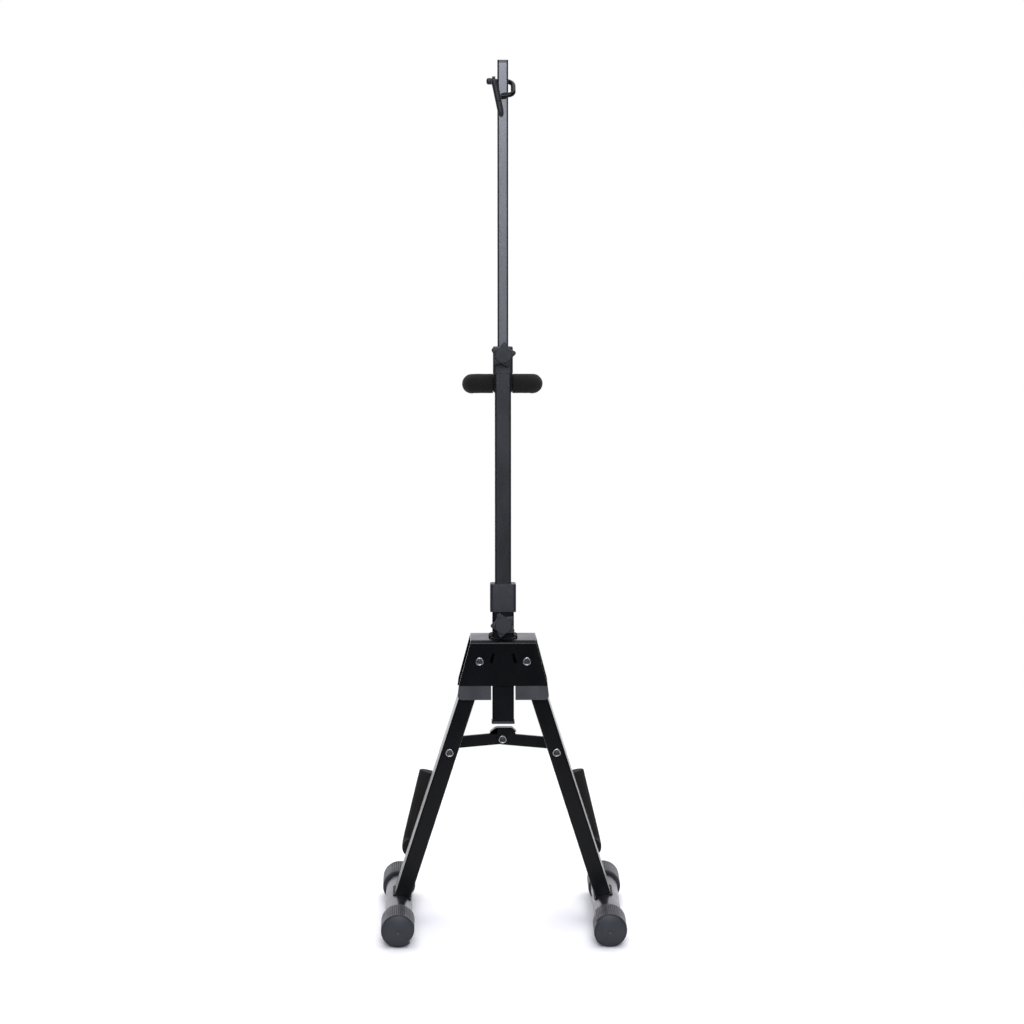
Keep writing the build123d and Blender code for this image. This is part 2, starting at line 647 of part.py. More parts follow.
def legs():
    """Each leg with its plug, foot tube, caps, arm and arm foam, and its half of the yoke foam."""
    parts = {}
    sides = {"right": lambda shape: shape, "left": mirrored}
    for side, place in sides.items():
        parts[f"{side}_leg_tube"] = place(leg_tube())
        parts[f"{side}_leg_plug"] = place(leg_plug())
        parts[f"{side}_foot_tube"] = place(foot_tube())
        parts[f"{side}_arm_plate"] = place(arm_plate())
        parts[f"{side}_arm_rod"] = place(arm_rod())
        parts[f"{side}_arm_foam"] = place(arm_foam())
        parts[f"{side}_arm_screws"] = Compound([place(screw) for screw in arm_screws()])
        parts[f"{side}_yoke_foam"] = place(yoke_foam())
    for side, x, notch in (("right", FOOT_X, 145.0), ("left", -FOOT_X, -45.0)):
        rear_cap = foot_cap(x, notch)
        parts[f"{side}_rear_foot_cap"] = rear_cap
        parts[f"{side}_front_foot_cap"] = mirror(rear_cap, about=Plane.XZ)
    return parts


def mast():
    """The three tubes with their plugs, guides, collars and bosses, the yoke and the bow hook."""
    return {
        "outer_tube": outer_tube(),
        "outer_tube_plug": MAST * tube_end_plug(OUTER_SIZE, OUTER_WALL, OUTER_LOW, -1, OUTER_PLUG_SIZE),
        "lower_collar": lower_collar(),
        "lower_screw_boss": screw_boss(OUTER_SIZE / 2, LOWER_KNOB_S),
        "middle_tube": middle_tube(),
        "middle_tube_guide": MAST * tube_guide(
            MIDDLE_SIZE, MIDDLE_SIZE - 2 * MIDDLE_WALL, OUTER_SIZE - 2 * OUTER_WALL, MIDDLE_LOW
        ),
        "upper_collar": upper_collar(),
        "upper_screw_boss": screw_boss(UPPER_COLLAR_SIZE / 2, UPPER_KNOB_S),
        "yoke_plate": yoke_plate(),
        "yoke_rod": MAST * yoke_rod_local(),
        "upper_tube": upper_tube(),
        "upper_tube_guide": MAST * tube_guide(
            UPPER_SIZE, UPPER_SIZE - 2 * UPPER_WALL, MIDDLE_SIZE - 2 * MIDDLE_WALL, UPPER_LOW
        ),
        "top_plug": MAST * tube_end_plug(UPPER_SIZE, UPPER_WALL, UPPER_HIGH, 1, UPPER_SIZE),
        "hook_rod": MAST * hook_rod_local(),
        "hook_tip": hook_tip(),
        "latch_wire": MAST * latch_wire_local(),
        "latch_sleeve": latch_sleeve(),
    }


def knobs():
    return {
        "lower_knob": knob(OUTER_SIZE / 2, LOWER_KNOB_S, LOWER_KNOB_TURN),
        "lower_knob_screw": knob_screw(OUTER_SIZE / 2, LOWER_KNOB_S, MIDDLE_SIZE / 2),
        "upper_knob": knob(UPPER_COLLAR_SIZE / 2, UPPER_KNOB_S, UPPER_KNOB_TURN),
        "upper_knob_screw": knob_screw(UPPER_COLLAR_SIZE / 2, UPPER_KNOB_S, UPPER_SIZE / 2),
    }


def stand():
    """Every sub-part by its node name."""
    bracket = {"hinge_bracket": hinge_bracket()}
    return {**bracket, **leg_pivots(), **legs(), **linkage(), **mast(), **knobs()}


os.makedirs("parts", exist_ok=True)
for name, shape in stand().items():
    export_step(shape, f"parts/{name}.step")
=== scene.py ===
"""Folding instrument stand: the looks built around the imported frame. Millimetres times MM are metres."""

import json
import math

import bmesh
import bpy
from mathutils import Matrix, Vector, noise


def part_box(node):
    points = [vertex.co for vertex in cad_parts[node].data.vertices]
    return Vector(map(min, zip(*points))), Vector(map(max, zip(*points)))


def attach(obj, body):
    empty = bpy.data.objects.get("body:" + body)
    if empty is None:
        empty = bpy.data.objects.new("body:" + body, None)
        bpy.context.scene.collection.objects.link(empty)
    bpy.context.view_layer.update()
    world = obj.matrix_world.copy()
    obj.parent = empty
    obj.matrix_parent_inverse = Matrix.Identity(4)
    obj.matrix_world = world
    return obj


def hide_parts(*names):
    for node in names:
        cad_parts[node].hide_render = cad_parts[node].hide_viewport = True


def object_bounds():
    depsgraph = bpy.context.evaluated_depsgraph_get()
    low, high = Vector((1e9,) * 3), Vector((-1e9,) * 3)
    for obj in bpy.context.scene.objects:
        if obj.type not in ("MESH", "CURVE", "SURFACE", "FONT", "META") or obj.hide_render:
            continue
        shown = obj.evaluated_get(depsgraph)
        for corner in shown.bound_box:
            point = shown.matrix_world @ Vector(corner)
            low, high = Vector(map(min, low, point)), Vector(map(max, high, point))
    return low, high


MM = 0.001
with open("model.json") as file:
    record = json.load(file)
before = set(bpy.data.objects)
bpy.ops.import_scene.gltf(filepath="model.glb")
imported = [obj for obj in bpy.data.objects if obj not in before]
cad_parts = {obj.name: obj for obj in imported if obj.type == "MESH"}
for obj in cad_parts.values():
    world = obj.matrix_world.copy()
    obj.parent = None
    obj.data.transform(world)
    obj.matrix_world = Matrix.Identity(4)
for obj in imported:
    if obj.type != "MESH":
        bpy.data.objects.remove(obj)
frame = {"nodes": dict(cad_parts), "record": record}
cad_low, cad_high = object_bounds()

# The mast's own frame: its foot, and its lean towards the instrument.
MAST_FOOT_Z = 343.0
MAST_LEAN = math.radians(7.0)
MAST = Matrix.Translation((0, 0, MAST_FOOT_Z * MM)) @ Matrix.Rotation(-MAST_LEAN, 4, "X")

# Legs and feet
PIVOT = Vector((27.7, 0.0, 321.6))
FOOT = Vector((123.5, 0.0, 20.0))
LEG_ANGLE = math.atan2(FOOT.x - PIVOT.x, PIVOT.z - FOOT.z)
LEG_HALF_WIDTH = 9.5
LEG_HALF_DEPTH = 19.0
FOOT_TUBE_RADIUS = 15.875
CAP_RADIUS = 20.0
CAP_LOW_RADIUS = 17.2
CAP_SWEEP = 75.0
CAP_NOTCH = {"left": -45.0, "right": 145.0}
CAP_CROWN = 59.0
CAP_RIBS = 54
CAP_BORE_FIT = 0.1
CAP_WEB = 12.0

# Soft sleeves
SLEEVE_RADIUS = 11.35
YOKE_S = 300.0
YOKE_Y = 18.6
YOKE_HALF = 36.0
YOKE_REACH = 76.0
YOKE_BEND = 14.0
YOKE_DROOP = math.radians(2.8)
YOKE_FOAM_START = 11.35
YOKE_ROD = 4.0
ARM_ROD = 5.0
ARM_START = Vector((107.5, 19.0, 70.0))
ARM_ELBOW = Vector((109.3, 86.0, 69.5))
ARM_TIP = Vector((88.0, 93.0, 158.0))
ARM_BEND = 14.0
ARM_FOAM_LEAD = 6
FOAM_COVER = 3.0
SEAM_ANGLE = 2.4

# Clamp knobs, and the faces of the mast that they stand on
OUTER_TUBE_FACE = 12.7
UPPER_COLLAR_FACE = 11.6
LOWER_KNOB_S = 18.7
UPPER_KNOB_S = 335.0
LOWER_KNOB_TURN = 112.0
UPPER_KNOB_TURN = 81.0
KNOB_STANDOFF = 5.5
KNOB_HUB = 9.4
KNOB_TIP = 2.7
KNOB_TIP_CENTRE = 12.1
KNOB_LOBES = 5

# Socket bolts
HEAD_HEIGHT = 3.0
HEAD_RADIUS = 4.75
RIM_CENTRE = 4.1
RIM_BEAD = 0.65
SHANK_RADIUS = 2.98
THREAD_ROOT = 2.72
THREAD_PITCH = 0.5
THREADED_LENGTH = 14.0
BOLT_SIDES = 60

# Bow hook and its latch
HOOK_Y = 9.25
HOOK_S = 653.2
HOOK_TIP_X = (-12.4, -18.9)
LATCH_TOP = Vector((-10.4, -10.7, 654.7))
LATCH_BOTTOM = Vector((-2.0, -10.7, 614.8))
LATCH_SLEEVE_RADIUS = 3.6
LATCH_GROOVE = 0.64

# Stage
FLOOR_RINGS = (0.2, 0.4, 0.6, 0.8)
FLOOR_GAP = 0.0002
DIM_SIDE = 0.1
BRIGHT_SIDE = 1.6


# ---------------------------------------------------------------- materials


class Shader:
    """A principled material with short calls for the nodes that this file uses."""

    def __init__(self, name, color, roughness, metallic=0.0, specular=0.5):
        self.material = bpy.data.materials.new(name)
        self.material.use_nodes = True
        self.tree = self.material.node_tree
        self.shader = self.tree.nodes["Principled BSDF"]
        self.shader.inputs["Base Color"].default_value = (*color, 1.0)
        self.shader.inputs["Roughness"].default_value = roughness
        self.shader.inputs["Metallic"].default_value = metallic
        self.shader.inputs["Specular IOR Level"].default_value = specular
        self.place = self.tree.nodes.new("ShaderNodeTexCoord").outputs["Object"]

    def link(self, source, target):
        self.tree.links.new(source, target)

    def noise(self, scale, detail=3.0, stretch=None):
        node = self.tree.nodes.new("ShaderNodeTexNoise")
        node.inputs["Scale"].default_value = scale
        node.inputs["Detail"].default_value = detail
        self.link(self.stretched(stretch), node.inputs["Vector"])
        return node.outputs["Fac"]

    def cells(self, scale):
        node = self.tree.nodes.new("ShaderNodeTexVoronoi")
        node.inputs["Scale"].default_value = scale
        self.link(self.place, node.inputs["Vector"])
        return node.outputs["Distance"]

    def stretched(self, stretch):
        if stretch is None:
            return self.place
        node = self.tree.nodes.new("ShaderNodeMapping")
        node.inputs["Scale"].default_value = stretch
        self.link(self.place, node.inputs["Vector"])
        return node.outputs["Vector"]

    def remap(self, value, low, high, new_low, new_high):
        node = self.tree.nodes.new("ShaderNodeMapRange")
        for socket, number in zip(node.inputs[1:5], (low, high, new_low, new_high)):
            socket.default_value = number
        self.link(value, node.inputs["Value"])
        return node.outputs["Result"]

    def blend_colors(self, fac, first, second):
        node = self.tree.nodes.new("ShaderNodeMix")
        node.data_type = "RGBA"
        node.inputs["A"].default_value = (*first, 1.0)
        node.inputs["B"].default_value = (*second, 1.0)
        self.link(fac, node.inputs["Factor"])
        return node.outputs["Result"]

    def color(self, fac, first, second):
        self.link(self.blend_colors(fac, first, second), self.shader.inputs["Base Color"])

    def roughness(self, fac, low, high, new_low, new_high):
        self.link(self.remap(fac, low, high, new_low, new_high), self.shader.inputs["Roughness"])

    def bump(self, height, distance, strength=1.0):
        node = self.tree.nodes.new("ShaderNodeBump")
        node.inputs["Strength"].default_value = strength
        node.inputs["Distance"].default_value = distance
        self.link(height, node.inputs["Height"])
        previous = self.shader.inputs["Normal"].links
        if previous:
            self.link(previous[0].from_socket, node.inputs["Normal"])
        self.link(node.outputs["Normal"], self.shader.inputs["Normal"])


def powder_coat(name, gloss, roughness, shade):
    """Satin black powder coat: a fine orange peel, faint handling marks, and a shade factor that scales
    its colour: darker and lighter copies of one coat, as painted shade and painted light.
    """
    look = Shader(name, (0.008, 0.0085, 0.0095), roughness, specular=gloss)
    # shade scales the whole colour: one black coat made darker or lighter per part, painted shade and
    # painted light for how each part faces the lamps.
    dark = tuple(shade * c for c in (0.006, 0.0064, 0.0076))
    light = tuple(shade * c for c in (0.0105, 0.011, 0.0129))
    look.color(look.noise(28, 4), dark, light)
    look.roughness(look.noise(45, 5, (1.0, 1.0, 0.3)), 0.35, 0.7, roughness - 0.04, roughness + 0.05)
    look.bump(look.noise(1100, 2), 0.00002, 0.4)
    look.bump(look.noise(260, 2), 0.00003, 0.25)
    return look.material


def moulded_plastic(name, shade, grain):
    look = Shader(name, shade, 0.5, specular=0.3)
    dark = tuple(0.75 * c for c in shade)
    light = tuple(1.35 * c for c in shade)
    look.color(look.noise(70, 4), dark, light)
    look.roughness(look.noise(120, 3), 0.3, 0.7, 0.44, 0.58)
    look.bump(look.cells(grain), 0.00004, 0.5)
    return look.material


def ribbed_rubber():
    """Blue-grey rubber with bloom and dust in its ribs."""
    look = Shader("blue_grey_rubber", (0.021, 0.0225, 0.027), 0.45, specular=0.3)
    look.color(look.noise(90, 5), (0.017, 0.0182, 0.0222), (0.0255, 0.027, 0.032))
    look.roughness(look.noise(60, 4), 0.3, 0.7, 0.38, 0.5)
    look.bump(look.noise(900, 3), 0.00005, 0.6)
    return look.material


def soft_rubber():
    look = Shader("black_rubber", (0.016, 0.016, 0.018), 0.55, specular=0.4)
    look.color(look.noise(140, 4), (0.012, 0.012, 0.0135), (0.022, 0.022, 0.024))
    look.roughness(look.noise(80, 3), 0.3, 0.7, 0.46, 0.62)
    look.bump(look.noise(700, 3), 0.00006, 0.5)
    return look.material


def foam_skin():
    """Closed-cell foam: matte, pitted by its cells, slightly warm."""
    look = Shader("black_foam", (0.013, 0.0115, 0.0108), 0.96, specular=0.12)
    look.shader.inputs["Sheen Weight"].default_value = 0.04
    look.shader.inputs["Sheen Roughness"].default_value = 0.5
    look.color(look.noise(420, 5), (0.009, 0.008, 0.0075), (0.02, 0.018, 0.0165))
    look.bump(look.cells(1300), 0.00016, 0.9)
    look.bump(look.noise(330, 4), 0.00025, 0.6)
    return look.material


def bright_zinc():
    look = Shader("bright_zinc", (0.42, 0.42, 0.43), 0.24, metallic=1.0)
    look.color(look.noise(500, 4), (0.36, 0.36, 0.375), (0.48, 0.48, 0.48))
    look.roughness(look.noise(700, 3), 0.3, 0.7, 0.17, 0.34)
    look.bump(look.noise(1800, 2), 0.00001, 0.5)
    return look.material


def dark_steel():
    # Only the cup in each bolt head's recess takes this: a darker steel as painted shade for the shaded
    # recess.
    look = Shader("painted_shade_steel", (0.05, 0.05, 0.052), 0.38, metallic=0.85)
    look.color(look.noise(300, 4), (0.035, 0.035, 0.037), (0.075, 0.075, 0.077))
    look.roughness(look.noise(400, 3), 0.3, 0.7, 0.3, 0.46)
    look.bump(look.noise(1500, 2), 0.00002, 0.5)
    return look.material


def pale_floor():
    look = Shader("pale_floor", (0.94, 0.94, 0.94), 0.9, specular=0.1)
    look.color(look.noise(3, 2), (0.935, 0.935, 0.937), (0.945, 0.945, 0.945))
    return look.material


LOOKS = {
    # One black powder coat in five copies. The last number scales its colour: painted shade where low
    # (bracket, legs, wire), painted light where high (mast, feet, upper tube).
    "black_steel": powder_coat("satin_black_powder_coat", 0.12, 0.26, 0.45),
    "mast_coat": powder_coat("mast_powder_coat", 0.34, 0.3, 0.8),
    "bright_coat": powder_coat("glossy_powder_coat", 0.8, 0.3, 1.0),
    "foot_coat": powder_coat("foot_powder_coat", 0.5, 0.3, 0.8),
    "wire_coat": powder_coat("dipped_wire_coat", 0.15, 0.25, 0.5),
    "black_plastic": moulded_plastic("black_moulded_plastic", (0.014, 0.0152, 0.018), 1500),
    "grey_rubber": ribbed_rubber(),
    "black_rubber": soft_rubber(),
    "black_foam": foam_skin(),
    "bright_steel": bright_zinc(),
    "dark_steel": dark_steel(),
}
# Parts given another copy of the black coat: its own gloss, and a colour scaled up or down as painted
# light or painted shade.
FINISH_OF = {
    "middle_tube": "mast_coat",
    "top_plug": "mast_coat",
    "upper_tube": "bright_coat",
    "left_foot_tube": "foot_coat",
    "right_foot_tube": "foot_coat",
    "hook_rod": "wire_coat",
    "latch_wire": "wire_coat",
}
SLOT_OF = {part["node"]: part["material_slot"] for part in frame["record"]["subparts"]}
BODY_OF = {
    node: body for body, nodes in frame["record"]["behaviour"]["bodies"].items() for node in nodes
}


# ---------------------------------------------------------------- mesh tools


def add_piece(name, verts, faces, slot, body, sharp=35.0, stands_for=(), finish=None):
    """A new mesh piece in the row frame, from vertices in metres."""
    mesh = bpy.data.meshes.new(name)
    mesh.from_pydata([tuple(v) for v in verts], [], faces)
    mesh.validate()
    mesh.materials.append(LOOKS[finish or slot])
    for polygon in mesh.polygons:
        polygon.use_smooth = True
    mesh.set_sharp_from_angle(angle=math.radians(sharp))
    piece = bpy.data.objects.new(name, mesh)
    bpy.context.scene.collection.objects.link(piece)
    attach(piece, body)
    if stands_for:
        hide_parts(*stands_for)
    return piece


def rounded_edges(piece, width, segments=2, angle=32.0):
    bevel = piece.modifiers.new("edges", "BEVEL")
    bevel.width = width * MM
    bevel.segments = segments
    bevel.limit_method = "ANGLE"
    bevel.angle_limit = math.radians(angle)
    bevel.harden_normals = True
    return piece


def refined(node, bevel=0.3, segments=2, angle=32.0, merge_flats=True, sharp=35.0):
    """The CAD part's own shape as a clean mesh with softened edges."""
    source = frame["nodes"][node].data
    work = bmesh.new()
    work.from_mesh(source)
    bmesh.ops.remove_doubles(work, verts=work.verts, dist=0.002 * MM)
    if merge_flats:
        flat = math.radians(0.5)
        bmesh.ops.dissolve_limit(work, angle_limit=flat, verts=work.verts, edges=work.edges)
    work.verts.ensure_lookup_table()
    verts = [v.co.copy() for v in work.verts]
    faces = [[v.index for v in face.verts] for face in work.faces]
    work.free()
    piece = add_piece(
        node + "_finished", verts, faces, SLOT_OF[node], BODY_OF[node], sharp,
        stands_for=(node,), finish=FINISH_OF.get(node),
    )
    if bevel:
        rounded_edges(piece, bevel, segments, angle)
    return piece


def ring_faces(rings, count, closed_along=False, first_cap=False, last_cap=False):
    """Quads between successive rings of count vertices each."""
    faces = []
    pairs = rings if closed_along else rings - 1
    for ring in range(pairs):
        here, there = ring * count, (ring + 1) % rings * count
        for k in range(count):
            after = (k + 1) % count
            faces.append((here + k, here + after, there + after, there + k))
    if first_cap:
        faces.append(tuple(reversed(range(count))))
    if last_cap:
        faces.append(tuple((rings - 1) * count + k for k in range(count)))
    return faces


def outward(piece):
    """Turns every face of a closed piece outwards."""
    work = bmesh.new()
    work.from_mesh(piece.data)
    bmesh.ops.recalc_face_normals(work, faces=work.faces)
    work.to_mesh(piece.data)
    work.free()
    return piece


ARC_STEP = 0.5


class Route:
    """A polyline whose corners are arcs, with a position and a frame at any length along it."""

    def __init__(self, points, radius=1.0):
        self.points = [Vector(points[0])]
        middles = []
        for before, corner, after in zip(points, points[1:], points[2:]):
            into, out = (corner - before).normalized(), (after - corner).normalized()
            turn = into.angle(out)
            inset = radius * math.tan(turn / 2)
            centre = corner + (out - into).normalized() * (radius / math.cos(turn / 2))
            first = corner - into * inset - centre
            axis = into.cross(out)
            count = max(3, int(turn * radius / ARC_STEP))
            middles.append(len(self.points) + count // 2)
            for k in range(count + 1):
                self.points.append(centre + Matrix.Rotation(turn * k / count, 3, axis) @ first)
        self.points.append(Vector(points[-1]))
        self.lengths = [0.0]
        for a, b in zip(self.points, self.points[1:]):
            self.lengths.append(self.lengths[-1] + (b - a).length)
        self.total = self.lengths[-1]
        self.bends = [self.lengths[index] for index in middles]

    def locate(self, length):
        length = min(max(length, 0.0), self.total)
        index = 0
        while index < len(self.lengths) - 2 and self.lengths[index + 1] < length:
            index += 1
        span = self.lengths[index + 1] - self.lengths[index]
        share = (length - self.lengths[index]) / span
        start, end = self.points[index], self.points[index + 1]
        return start.lerp(end, share), (end - start).normalized()


def lathe_along(route, stations, count, up, shape=None):
    """Rings round a route, one for each (length, radius) station.

    shape(length, angle, radius) adds to the radius.
    """
    verts = []
    for length, radius in stations:
        centre, along = route.locate(length)
        side = up.cross(along).normalized()
        top = along.cross(side)
        for k in range(count):
            angle = 2 * math.pi * k / count
            reach = radius + (shape(length, angle, radius) if shape else 0.0)
            verts.append((centre + reach * (math.cos(angle) * side + math.sin(angle) * top)) * MM)
    return verts


def placed(verts, matrix):
    return [matrix @ v for v in verts]


def mirrored(verts):
    return [Vector((-v.x, v.y, v.z)) for v in verts]


# ---------------------------------------------------------------- parts kept from the CAD shapes


def metalwork():
    """Tubes, rods, plates and fasteners keep the CAD shape, with rounded edges and a finish."""
    for node in ("outer_tube", "middle_tube", "upper_tube", "hook_rod", "yoke_rod"):
        refined(node, 0.15, angle=40)
    refined("hinge_bracket", 0.0, merge_flats=False, sharp=22.0)
    refined("yoke_plate", 0.5, 3)
    for side in ("left", "right"):
        for part in ("leg_tube", "foot_tube", "arm_rod"):
            refined(f"{side}_{part}", 0.15, angle=40)
        refined(f"{side}_arm_plate", 0.5, 3)
        refined(f"{side}_arm_screws", 0.2)
        refined(f"{side}_leg_plug", 0.6, 3)
        refined(f"{side}_link_nut", 0.3)
    refined("left_link_bar", 0.4, 3)
    for node in ("right_link_pin", "left_link_spacer"):
        refined(node, 0.18)
    for node in ("leg_pivot_nuts", "link_centre_nut"):
        refined(node, 0.3)
    for node in ("lower_knob_screw", "upper_knob_screw", "latch_wire"):
        refined(node, 0.15, angle=40)
    for node in ("lower_screw_boss", "upper_screw_boss"):
        refined(node, 0.5, 3)
    for node in ("outer_tube_plug", "top_plug"):
        refined(node, 0.5, 3)
    for node in ("lower_collar", "upper_collar"):
        refined(node, 0.3, 2)
    for node in ("middle_tube_guide", "upper_tube_guide", "leg_pivot_washers"):
        refined(node, 0.2)


# ---------------------------------------------------------------- socket bolts


def bolt_rings(length):
    """Stations (distance from the seat, radius, hexagon share) of a bolt, from its tail to its head.

    The head has a rounded rim round a recess, which a dark cup fills: painted shade, darker than the zinc,
    for the shaded recess.
    """
    rings = [(length, 0.02, 0), (length, 2.5, 0), (length - 0.5, 2.95, 0)]
    threads = int(min(length - 2.0, THREADED_LENGTH) / THREAD_PITCH)
    for k in range(threads):
        rings.append((length - 0.7 - THREAD_PITCH * k, SHANK_RADIUS if k % 2 else THREAD_ROOT, 0))
    rings.append((length - 1.2 - THREAD_PITCH * threads, SHANK_RADIUS, 0))
    rings += [(0.0, SHANK_RADIUS, 0), (0.0, 4.55, 0), (-0.12, 4.72, 0), (-0.5, HEAD_RADIUS, 0)]
    steps = 10
    for k in range(steps + 1):
        slope = math.pi * k / steps
        rise = RIM_BEAD * math.sin(slope)
        rings.append((-(HEAD_HEIGHT - RIM_BEAD) - rise, RIM_CENTRE + RIM_BEAD * math.cos(slope), 0))
    return rings + [(-1.9, 3.4, 0), (-1.5, 3.3, 0), (-0.9, 2.0, 0), (-0.9, 0.02, 0)]


def socket_rings():
    """Stations of the dark cup in a bolt's head, with the hexagon socket in its middle: painted shade for
    the shaded recess.
    """
    rings = [(-1.0, 0.02, 0), (-1.0, 3.1, 0), (-1.6, 3.42, 0), (-2.1, 3.44, 0), (-2.0, 3.2, 0)]
    rings += [(-1.95, 2.5, 0.4), (-1.9, 2.2, 1), (-1.25, 2.1, 1), (-1.2, 1.0, 0.3)]
    return rings + [(-1.45, 0.4, 0), (-1.5, 0.02, 0)]


def bolt_piece(name, rings, slot, body, place, stands_for=()):
    """A closed piece of rings about an axis along +Y, from a place (x, seat, z) in millimetres."""
    x, seat, z = place
    verts = []
    for along, radius, hexagon in rings:
        for k in range(BOLT_SIDES):
            turn = 2 * math.pi * k / BOLT_SIDES
            off = turn % (math.pi / 3) - math.pi / 6
            corner = math.cos(math.pi / 6) / math.cos(off)
            reach = radius * (1 + hexagon * (corner - 1))
            across, up = reach * math.cos(turn), reach * math.sin(turn)
            verts.append(Vector((x + across, seat + along, z + up)) * MM)
    faces = ring_faces(len(rings), BOLT_SIDES, first_cap=True, last_cap=True)
    outward(add_piece(name, verts, faces, slot, body, 38, stands_for))


def bolt(node, name, x, z, seat, length):
    """A bolt along +Y whose head sits on the -Y side of seat, with a dark cup in its head as painted shade
    in the recess.
    """
    place = (x, seat, z)
    bolt_piece(name, bolt_rings(length), "bright_steel", BODY_OF[node], place, (node,))
    # The cup in the head's recess is a darker metal: painted shade, as the recess is in shade.
    bolt_piece(name + "_painted_shade_cup", socket_rings(), "dark_steel", BODY_OF[node], place)


def socket_bolts():
    """The five bolts that face the rear, each where its CAD bolt lies."""
    low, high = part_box("leg_pivot_bolts")
    seat = low.y / MM + HEAD_HEIGHT
    for side, x in (("left", -PIVOT.x), ("right", PIVOT.x)):
        bolt("leg_pivot_bolts", f"{side}_pivot_bolt", x, PIVOT.z, seat, high.y / MM - seat)
    for node in ("left_link_bolt", "right_link_bolt", "link_centre_bolt"):
        low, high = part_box(node)
        middle = (low + high) / 2 / MM
        seat = low.y / MM + HEAD_HEIGHT
        bolt(node, node + "_socket_head", middle.x, middle.z, seat, high.y / MM - seat)


# ---------------------------------------------------------------- spreader link with its thumb tab


def extruded(outline, start, end):
    """A plate from an XZ outline in millimetres, between two values of y."""
    count = len(outline)
    verts = [Vector((x, start, z)) * MM for x, z in outline]
    verts += [Vector((x, end, z)) * MM for x, z in outline]
    faces = [tuple(range(count)), tuple(reversed(range(count, 2 * count)))]
    for k in range(count):
        after = (k + 1) % count
        faces.append((k, k + count, after + count, after))
    return verts, faces


def arc(centre, radius, start, end, count):
    points = []
    for k in range(count + 1):
        angle = math.radians(start + (end - start) * k / count)
        points.append((centre[0] + radius * math.cos(angle), centre[1] + radius * math.sin(angle)))
    return points


def right_link():
    """The right-hand bar, its web over the centre bolt, and the tab that is bent over the other bar."""
    low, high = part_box("right_link_bar")
    bolt_low, bolt_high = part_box("link_centre_bolt")
    pin_low, pin_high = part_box("right_link_pin")
    centre = ((bolt_low.x + bolt_high.x) / 2 / MM, (bolt_low.z + bolt_high.z) / 2 / MM)
    far = ((pin_low.x + pin_high.x) / 2 / MM, (pin_low.z + pin_high.z) / 2 / MM)
    slope = math.degrees(math.atan2(far[1] - centre[1], far[0] - centre[0]))
    half = 7.0
    top = high.z / MM - centre[1]
    outline = arc(centre, half, slope + 180, slope + 270, 10)
    outline += arc(far, half, slope - 90, slope + 90, 18)
    outline.append((centre[0] + 15.6, centre[1] + 5.7))
    outline += arc((centre[0] + 11.6, centre[1] + top - 3.4), 2.4, 0, 90, 6)
    outline += arc((centre[0] - 3.6, centre[1] + top - 3.4), 2.4, 90, 180, 6)
    outline.append((centre[0] - 7.0, centre[1] + 4.0))
    start = low.y / MM
    verts, faces = extruded(outline, start, start + 3.0)
    plate = rounded_edges(
        outward(add_piece("right_link_plate", verts, faces, "black_steel", "right_link")), 0.4, 3
    )
    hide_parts("right_link_bar")

    thick = 1.7
    upper = [(centre[0] + 14.2, centre[1] + top - 3.2), (centre[0] + 12.0, centre[1] + top - 0.6)]
    upper += [(centre[0] + 10.6, centre[1] + top), (centre[0] - 5.0, centre[1] + top)]
    upper += arc((centre[0] - 5.4, centre[1] + top - 8.2), 8.2, 96, 178, 12)
    lower = []
    for k, (x, z) in enumerate(upper):
        before = upper[max(k - 1, 0)]
        after = upper[min(k + 1, len(upper) - 1)]
        run_x, run_z = after[0] - before[0], after[1] - before[1]
        run = math.hypot(run_x, run_z)
        lower.append((x + thick * run_z / run, z + thick * run_x / run))
    lower.reverse()
    verts, faces = extruded(upper + lower, start + 0.2, high.y / MM)
    tab = add_piece("right_link_tab", verts, faces, "black_steel", "right_link")
    rounded_edges(outward(tab), 0.35, 3, 50)


# ---------------------------------------------------------------- foam sleeves


def sleeve_stations(start, end, bore):
    """A closed loop of rings: outside, rounded ends, and the bore that the rod fills."""
    radius = SLEEVE_RADIUS
    edge, cut = 1.6, 0.4
    steps = 6
    stations = []
    for k in range(steps + 1):
        angle = math.pi / 2 * k / steps
        stations.append((start + cut - cut * math.cos(angle), radius - cut + cut * math.sin(angle)))
    straight = end - start - edge - cut
    count = int(straight / 0.9)
    for k in range(1, count):
        stations.append((start + cut + straight * k / count, radius))
    for k in range(steps + 1):
        angle = math.pi / 2 * (1 - k / steps)
        stations.append((end - edge + edge * math.cos(angle), radius - edge + edge * math.sin(angle)))
    stations += [(end, radius * 0.7), (end, radius * 0.4)]
    stations += [(end, 0.3), (end - FOAM_COVER, 0.3), (end - FOAM_COVER, bore)]
    return stations + [(start, bore), (start, (radius + bore) / 2)]


def sleeve_shape(bend_at, seed):
    """Soft lumps all over, creases on the inside of the bend and one glued seam line."""

    def add(length, angle, ring_radius):
        if ring_radius < SLEEVE_RADIUS * 0.8:
            return 0.0
        place = Vector((math.cos(angle) * 1.3, math.sin(angle) * 1.3, length * 0.11)) + seed
        lumps = 0.16 * noise.noise(place) + 0.07 * noise.noise(place * 4.1)
        away = (length - bend_at) / 13.0
        inside = max(0.0, math.cos(angle))
        creases = -0.42 * math.exp(-away * away) * inside**2 * (0.5 + 0.5 * math.cos(length * 1.75))
        around = abs((angle - SEAM_ANGLE + math.pi) % (2 * math.pi) - math.pi) * SLEEVE_RADIUS
        seam = -0.35 * math.exp(-((around / 0.45) ** 2))
        return lumps + creases + seam

    return add


